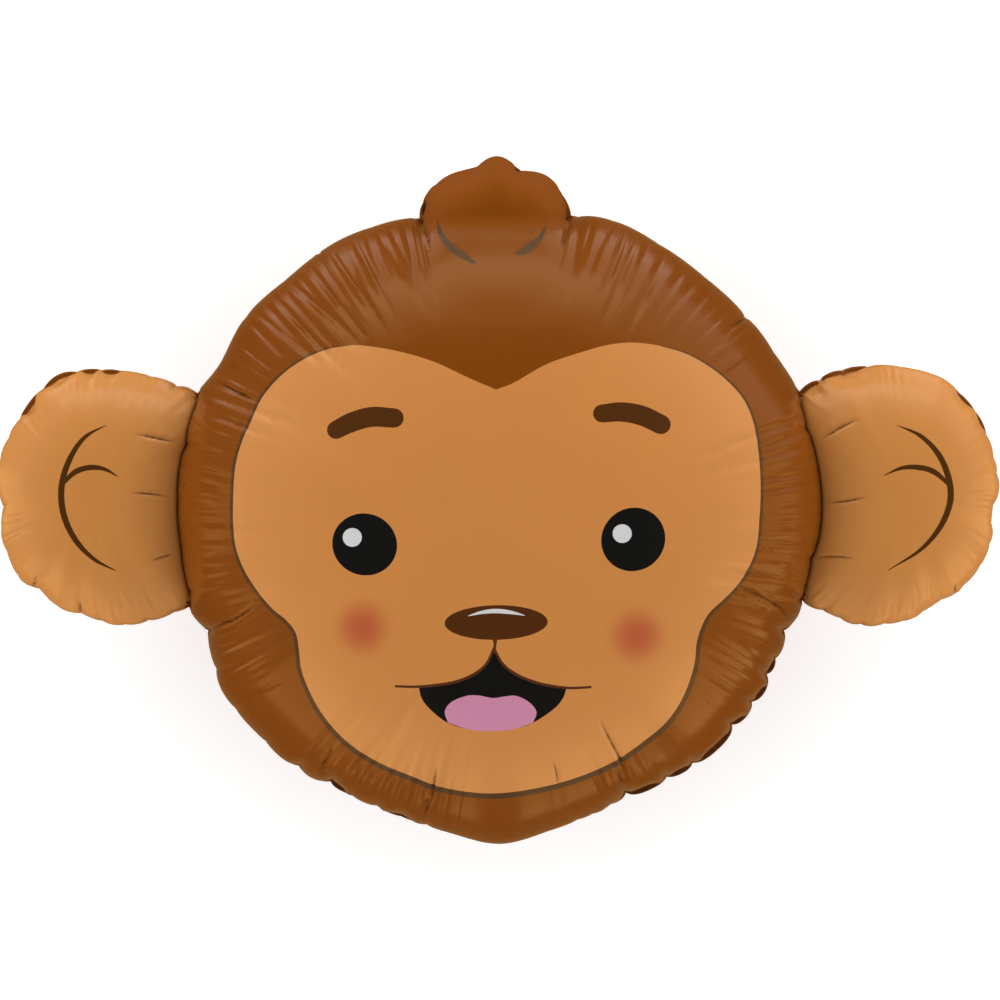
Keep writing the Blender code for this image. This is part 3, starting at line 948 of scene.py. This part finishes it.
def streak_coordinates(points, owner):
    """Coordinates that change fast along the seam and slowly across it, for fine streaks."""
    made = np.zeros((len(points), 3))
    for index, lobe in enumerate(LOBES):
        mine = owner == index
        distance, angle = polar(lobe, points[mine])
        size = shares(np.mean(lobe["radii"]))
        made[mine, 0] = np.cos(angle) * size + index * STREAK_APART
        made[mine, 1] = np.sin(angle) * size
        made[mine, 2] = distance * STREAK_STRETCH
    return made


def dulled(points):
    """Share of its shine that the film has lost: all of it on the tuft, none on the head. The same
    share sets the tuft's painted light.
    """
    return eased(points[:, 1], *shares(MATTE_RISE)) * (owners(points) == LOBES.index(TUFT))


def inks_of(middles, shapes):
    """Name of the ink on each triangle. The back, which has no print, is brown all over. Where it
    shows past the head's and tuft's drawn-back rim it gets the dark shade ink, a painted shadow.
    """
    owner = owners(middles)
    ear = (owner == 1) | (owner == 2)
    inks = np.where(ear & bool(shapes), "ear", "hair").astype(object)
    for ink, outline in shapes:
        inks[within(middles, outline)] = ink
    if shapes:
        reaches = np.array([reach(lobe, middles) for lobe in LOBES])
        beyond = peeking(middles, reaches.argmin(axis=0)) > PEEK_SEEN
        beyond &= reaches.min(axis=0) > 1
        inks[beyond] = "hair"
        # The head's and tuft's back film that shows gets a darker brown: painted shadow.
        inks[beyond & ~ear] = "shade"
    return inks


def film_side(side, seed, shapes, folds, every):
    """One sheet of film, with what its inks read: streaks, crumpling, painted shade along folds
    and creases, and the tuft's matte film with its painted light.
    """
    points, triangles, rim = plan(shapes, folds, every)
    nearest = np.argmin([reach(lobe, points) for lobe in LOBES], axis=0)
    owner = owners(points)
    height = film_height(points)
    corners = sheet(points, height, nearest, side)
    sunk, crumpled = pleated(points, height, owner, seed, every)
    pressed, fold_shade_mask = folded(points, height, folds)
    # The crease's line is painted shade along its bottom.
    dip, line = creased(points)
    moved = corners - side * point_normals(corners, triangles) * pressed[:, None]
    moved[:, 2] -= side * (sunk + dip)
    moved[:, 2] = np.where(corners[:, 2] <= 0, 0, np.maximum(moved[:, 2], 0))
    middles = points[triangles].mean(axis=1)
    return {
        "corners": moved,
        "triangles": triangles[:, ::side],
        "inks": inks_of(middles, shapes),
        "rim": rim,
        "rim_inks": inks_of(points[:rim], shapes),
        "streak": streak_coordinates(points, owner) + BACK_STREAKS * (side < 0),
        "crumple": crumpled,
        # Painted shade along the bottoms of folds and creases.
        "painted_fold_shade": np.maximum(fold_shade_mask, line),
        # The tuft's matte film, which also sets its painted light.
        "matte_and_painted_light": dulled(points),
    }


def film_mesh():
    """The whole balloon as one closed mesh, with the ink of each face."""
    front = film_side(1, SEEDS[0], print_shapes(), FOLDS, 1)
    back = film_side(-1, SEEDS[1], [], (), BACK_EVERY)
    low, high = front["corners"][:, :2].min(axis=0), front["corners"][:, :2].max(axis=0)
    middle = (low + high) / 2
    count = len(front["corners"])
    ring = np.arange(front["rim"])
    after = np.roll(ring, -1)
    rim_faces = np.concatenate([
        np.stack([ring, ring + count, after + count], 1),
        np.stack([ring, after + count, after], 1),
    ])
    faces = np.concatenate([front["triangles"], back["triangles"] + count, rim_faces])
    inks = np.concatenate([front["inks"], back["inks"], front["rim_inks"], front["rim_inks"]])
    corners = np.concatenate([front["corners"], back["corners"]])
    corners[:, :2] -= middle
    mesh = bpy.data.meshes.new("balloon_film")
    mesh.from_pydata(corners.tolist(), [], faces.tolist())
    for name in ("streak", "crumple", "painted_fold_shade", "matte_and_painted_light"):
        values = np.concatenate([front[name], back[name]])
        kind, field = ("FLOAT", "value") if values.ndim == 1 else ("FLOAT_VECTOR", "vector")
        mesh.attributes.new(name, kind, "POINT").data.foreach_set(field, values.ravel())
    return mesh, inks, middle


# Materials.


def srgb(red, green, blue):
    """A colour given in 0 to 255, as Blender's linear numbers."""
    values = np.array([red, green, blue]) / 255
    linear = np.where(values > 0.04045, ((values + 0.055) / 1.055) ** 2.4, values / 12.92)
    return (*linear.tolist(), 1.0)


# Each ink's colour, roughness and the tint that it gives to what the foil under it mirrors.
WARM = (0.96, 0.63, 0.27, 1.0)
PALE = (1.0, 0.81, 0.60, 1.0)
PLAIN = (1.0, 1.0, 1.0, 1.0)
INKS = {
    "hair": ((116, 59, 10), 0.19, WARM),
    # The shade colour is painted shadow on the back film where it shows past the head's rim.
    "shade": ((80, 36, 9), 0.28, WARM),
    "ear": ((188, 124, 62), 0.22, PALE),
    "face": ((187, 122, 62), 0.22, PALE),
    "outline": ((76, 50, 28), 0.30, WARM),
    "brow": ((73, 35, 3), 0.42, WARM),
    "nose": ((74, 35, 6), 0.42, WARM),
    "black": ((9, 9, 7), 0.42, PLAIN),
    "white": ((193, 193, 192), 0.28, PLAIN),
    "tongue": ((187, 120, 151), 0.42, PALE),
    "lip": ((80, 40, 20), 0.30, WARM),
    "ear_line": ((70, 40, 12), 0.30, WARM),
    "tuft_line": ((76, 53, 34), 0.34, WARM),
}
BLUSH = srgb(170, 83, 49)
BLUSH_RADIUS = 0.035


class Nodes:
    """Short calls for building the nodes of a material or a world."""

    def __init__(self, tree):
        self.tree = tree

    def feed(self, socket, value):
        """Set a socket to a plain value, or link another node's output to it."""
        if isinstance(value, (int, float, tuple)):
            socket.default_value = value
        else:
            self.tree.links.new(value, socket)

    def add(self, kind, *values, **settings):
        """A new node, with its settings and the values of its first inputs."""
        node = self.tree.nodes.new("ShaderNode" + kind)
        for key, value in settings.items():
            setattr(node, key, value)
        for socket, value in zip(node.inputs, values):
            self.feed(socket, value)
        return node

    def attribute(self, name, output="Fac"):
        return self.add("Attribute", attribute_name=name).outputs[output]

    def math(self, operation, *values):
        return self.add("Math", *values, operation=operation).outputs[0]

    def times(self, first, *others):
        for other in others:
            first = self.math("MULTIPLY", first, other)
        return first

    def noise(self, vector, *settings):
        node = self.add("TexNoise", vector)
        for name, value in zip(("Scale", "Detail", "Roughness"), settings):
            node.inputs[name].default_value = value
        return node.outputs["Fac"]

    def mixed(self, factor, first, second, blend="MIX"):
        node = self.add("Mix", factor, data_type="RGBA", blend_type=blend)
        self.feed(node.inputs[6], first)
        self.feed(node.inputs[7], second)
        return node.outputs[2]

    def ramp(self, value, start, end, low=0.0, high=1.0, curve="SMOOTHSTEP"):
        """A smooth step from low to high as the value goes from start to end."""
        node = self.add("MapRange", value, start, end, low, high, interpolation_type=curve)
        return node.outputs["Result"]


def new_material(name):
    """A material, the calls for its nodes, and its shader's inputs."""
    material = bpy.data.materials.new(name)
    material.use_nodes = True
    n = Nodes(material.node_tree)
    return material, n, n.tree.nodes["Principled BSDF"].inputs


# The inks' noises, as (scale, detail, roughness). The first two follow the pleats.
FINE = (170, 1.5, 0.5)
BROAD = (90, 2.0, 0.5)
MOTTLE = (9, 3.0, 0.5)
GRAIN = (900, 2.0, 0.6)
MOTTLE_LOWEST, MOTTLE_SPAN = 0.95, 0.10
ROUGHNESS_SPAN = 0.08
SPECULAR_LEVEL = 0.5
# The tuft's matte film: how much lighter its colour is painted (painted light), and how much
# rougher and duller it is.
MATTE_PAINTED_LIGHT, MATTE_ROUGHER, MATTE_DULLER = 0.09, 0.35, 0.92
# How much darker the colour is painted along the bottoms of folds and creases: painted shade.
FOLD_PAINTED_SHADE = 0.8
# Bumps, as shares of the distance.
BUMP_DISTANCE = 0.0026
SMOOTH_BUMP, CRUMPLED_BUMP, GRAIN_BUMP = 0.012, 0.14, 0.01
RIDGE_GAIN = 2.0
BROAD_SHARE = 0.6


def blushed(n, place, middle, base):
    """The face's colour with its two soft red cheeks."""
    for centre in BLUSHES:
        point = plan_of([centre])[0] - middle
        flat = n.add("VectorMath", place, (1, 1, 0), operation="MULTIPLY").outputs[0]
        gap = n.add("VectorMath", flat, (*point, 0), operation="DISTANCE").outputs["Value"]
        fade = n.ramp(gap, 0.0, BLUSH_RADIUS, 1.0, 0.0, "SMOOTHERSTEP")
        base = n.mixed(fade, base, BLUSH)
    return base


def film_ink(ink, middle):
    """Satin printed film: ink colour, fine streaks, soft mottling, painted shade along folds and
    creases, and painted light on the tuft.
    """
    colour, roughness, tint = INKS[ink]
    colour = srgb(*colour)
    material, n, shader = new_material("film_" + ink)
    streak = n.attribute("streak", "Vector")
    matte_and_painted_light = n.attribute("matte_and_painted_light")
    place = n.add("TexCoord").outputs["Object"]
    broad = n.noise(streak, *BROAD)
    base = blushed(n, place, middle, colour) if ink == "face" else colour
    shade = n.math("MULTIPLY_ADD", n.noise(place, *MOTTLE), MOTTLE_SPAN, MOTTLE_LOWEST)
    # Painted light: the tuft's colour is made lighter where its film turns matte.
    shade = n.math("ADD", shade, n.times(matte_and_painted_light, MATTE_PAINTED_LIGHT))
    # Painted shade: darker along the bottoms of sharp folds and of the ears' creases.
    shade = n.math("SUBTRACT", shade, n.times(n.attribute("painted_fold_shade"), FOLD_PAINTED_SHADE))
    grey = n.add("CombineColor", shade, shade, shade).outputs[0]
    n.feed(shader["Base Color"], n.mixed(1.0, base, grey, "MULTIPLY"))
    rough = n.math("MULTIPLY_ADD", broad, ROUGHNESS_SPAN, roughness - ROUGHNESS_SPAN / 2)
    n.feed(shader["Roughness"], n.math("ADD", rough, n.times(matte_and_painted_light, MATTE_ROUGHER)))
    if ink in MATTE_INKS:
        shine = n.math("SUBTRACT", 1.0, n.times(matte_and_painted_light, MATTE_DULLER))
        n.feed(shader["Specular IOR Level"], n.times(shine, SPECULAR_LEVEL))
    shader["Specular Tint"].default_value = tint
    # Fine creases: the noise's middle level becomes a sharp ridge.
    ridge = n.math("ABSOLUTE", n.math("SUBTRACT", n.noise(streak, *FINE), 0.5))
    swell = n.math("ADD", ridge, n.times(broad, BROAD_SHARE))
    strength = n.math("MULTIPLY_ADD", n.attribute("crumple"), CRUMPLED_BUMP, SMOOTH_BUMP)
    grain = n.times(n.noise(place, *GRAIN), GRAIN_BUMP)
    bump = n.add("Bump")
    bump.inputs["Strength"].default_value = 1.0
    bump.inputs["Distance"].default_value = BUMP_DISTANCE
    n.feed(bump.inputs["Height"], n.math("ADD", n.times(swell, RIDGE_GAIN, strength), grain))
    n.feed(shader["Normal"], bump.outputs[0])
    return material


def placed(name, data, location=(0, 0, 0)):
    """A new object in the scene."""
    made = bpy.data.objects.new(name, data)
    made.location = location
    bpy.context.scene.collection.objects.link(made)
    return made


def balloon():
    """The film, printed and in place of the plain CAD solid."""
    mesh, inks, middle = film_mesh()
    names = list(INKS)
    for ink in names:
        mesh.materials.append(film_ink(ink, middle))
    mesh.polygons.foreach_set("material_index", [names.index(ink) for ink in inks])
    mesh.polygons.foreach_set("use_smooth", [True] * len(mesh.polygons))
    mesh.update()
    film = placed("balloon_film", mesh)
    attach(film, "root")
    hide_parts("foil_balloon")
    return middle


# Floor, light and camera.


FLOOR_SIZE = 14
FLOOR_DROP = 0.0002
FLOOR_PAINT = (0.92, 0.92, 0.92, 1.0), (0.95, 0.95, 0.95, 1.0)
FLOOR_SPECKLE = (40, 3.0, 0.5)
FLOOR_ROUGHNESS = 0.8
FLOOR_GLOW = 0.30


def floor():
    """The pale surface that the balloon lies on."""
    bpy.ops.mesh.primitive_plane_add(size=FLOOR_SIZE, location=(0, 0, -FLOOR_DROP))
    ground = bpy.context.object
    ground.name = "floor"
    material, n, shader = new_material("pale_floor")
    speckle = n.noise(n.add("TexCoord").outputs["Object"], *FLOOR_SPECKLE)
    n.feed(shader["Base Color"], n.mixed(speckle, *FLOOR_PAINT))
    shader["Roughness"].default_value = FLOOR_ROUGHNESS
    shader["Emission Color"].default_value = (1, 1, 1, 1)
    shader["Emission Strength"].default_value = FLOOR_GLOW
    ground.data.materials.append(material)
    ground.visible_glossy = False


# Soft boxes that the film mirrors, as (azimuth, half width, lowest, faded from, faded to,
# strength), in degrees from +X and sines of the elevation.
BOXES = (
    (94, 35, 0.07, 0.25, 0.78, 1.65),
    (119, 11, -0.66, 0.04, 0.10, 0.85),
    (38, 18, -0.40, 0.20, 0.70, 0.50),
    (67, 10, -0.66, 0.04, 0.10, 0.85),
    (180, 7, -0.70, 0.05, 0.50, 1.10),
    (224, 12, -0.30, 0.20, 0.70, 1.10),
    (250, 5, -0.60, 0.10, 0.50, 0.70),
    (292, 5, -0.60, 0.10, 0.50, 0.80),
    (320, 12, -0.40, 0.20, 0.70, 1.45),
    (356, 12, -0.60, 0.10, 0.60, 1.15),
    (0, 180, -1.10, -0.90, -0.70, 0.25),
)
# Their edges fade over these degrees and heights.
BOX_EDGE = 2
BOX_FOOT = 0.03
# What is mirrored from the chin's side or from below is warmer, between these values of y and z.
LOWER_TINT = (1.0, 0.70, 0.31, 1.0)
LOWER_Y = (0.45, 0.10)
LOWER_Z = (-0.60, -0.72)
MIRRORED_DARK = 0.02
# The even light is stronger from the sides, and a little more so from the tuft's.
AMBIENT_LEVEL = 3.25
AMBIENT_LEAN = 0.18
# A large soft lamp overhead, in watts, metres and radians.
OVERHEAD = 6
OVERHEAD_SIZE = 3.0
OVERHEAD_PLACE = (0, 0.6, 3.2)
OVERHEAD_TILT = -0.18
SENSOR_WIDTH = 36
FARTHEST = 50


def studio_world():
    """Even white light all round. What the film mirrors is dark but for the soft boxes."""
    world = bpy.data.worlds.new("studio")
    world.use_nodes = True
    n = Nodes(world.node_tree)
    sky = n.tree.nodes["Background"].inputs
    x, y, z = n.add("SeparateXYZ", n.add("TexCoord").outputs["Generated"]).outputs
    azimuth = n.math("DEGREES", n.math("ARCTAN2", y, x))
    mirrored = MIRRORED_DARK
    for centre, half, lowest, high_from, high_to, strength in BOXES:
        turn = n.math("WRAP", n.math("SUBTRACT", azimuth, centre), 180.0, -180.0)
        aside = n.ramp(n.math("ABSOLUTE", turn), half + BOX_EDGE, half)
        low = n.ramp(z, lowest - BOX_FOOT, lowest + BOX_FOOT)
        high = n.ramp(z, high_to, high_from)
        mirrored = n.math("ADD", mirrored, n.times(aside, low, high, strength))
    glossy = n.add("LightPath").outputs["Is Glossy Ray"]
    sideways = n.math("SUBTRACT", 1.0, n.math("MAXIMUM", z, 0.0))
    leaning = n.math("MULTIPLY_ADD", y, AMBIENT_LEAN, 1.0)
    even = n.times(sideways, leaning, AMBIENT_LEVEL, n.math("SUBTRACT", 1.0, glossy))
    n.feed(sky["Strength"], n.math("ADD", n.times(mirrored, glossy), even))
    lower = n.math("MAXIMUM", n.ramp(y, *LOWER_Y), n.ramp(z, *LOWER_Z))
    n.feed(sky["Color"], n.mixed(n.times(lower, glossy), PLAIN, LOWER_TINT))
    bpy.context.scene.world = world


def studio(middle):
    """Light, and the camera that looks straight down."""
    studio_world()
    lamp = bpy.data.lights.new("overhead", "AREA")
    lamp.shape = "SQUARE"
    lamp.size = OVERHEAD_SIZE
    lamp.energy = OVERHEAD
    overhead = placed("overhead", lamp, OVERHEAD_PLACE)
    overhead.rotation_euler = (OVERHEAD_TILT, 0, 0)
    overhead.visible_glossy = False
    overhead.visible_camera = False
    bpy.context.scene.view_settings.view_transform = "Standard"
    lens = bpy.data.cameras.new("camera")
    lens.sensor_width = SENSOR_WIDTH
    lens.lens = SENSOR_WIDTH * CAMERA_DISTANCE / SPAN
    lens.clip_end = FARTHEST
    height = HEAD_RISE - FLAT_SPOT_DEPTH + CAMERA_DISTANCE
    bpy.context.scene.camera = placed("camera", lens, (-middle[0], -middle[1], height))


middle = balloon()
floor()
studio(middle)
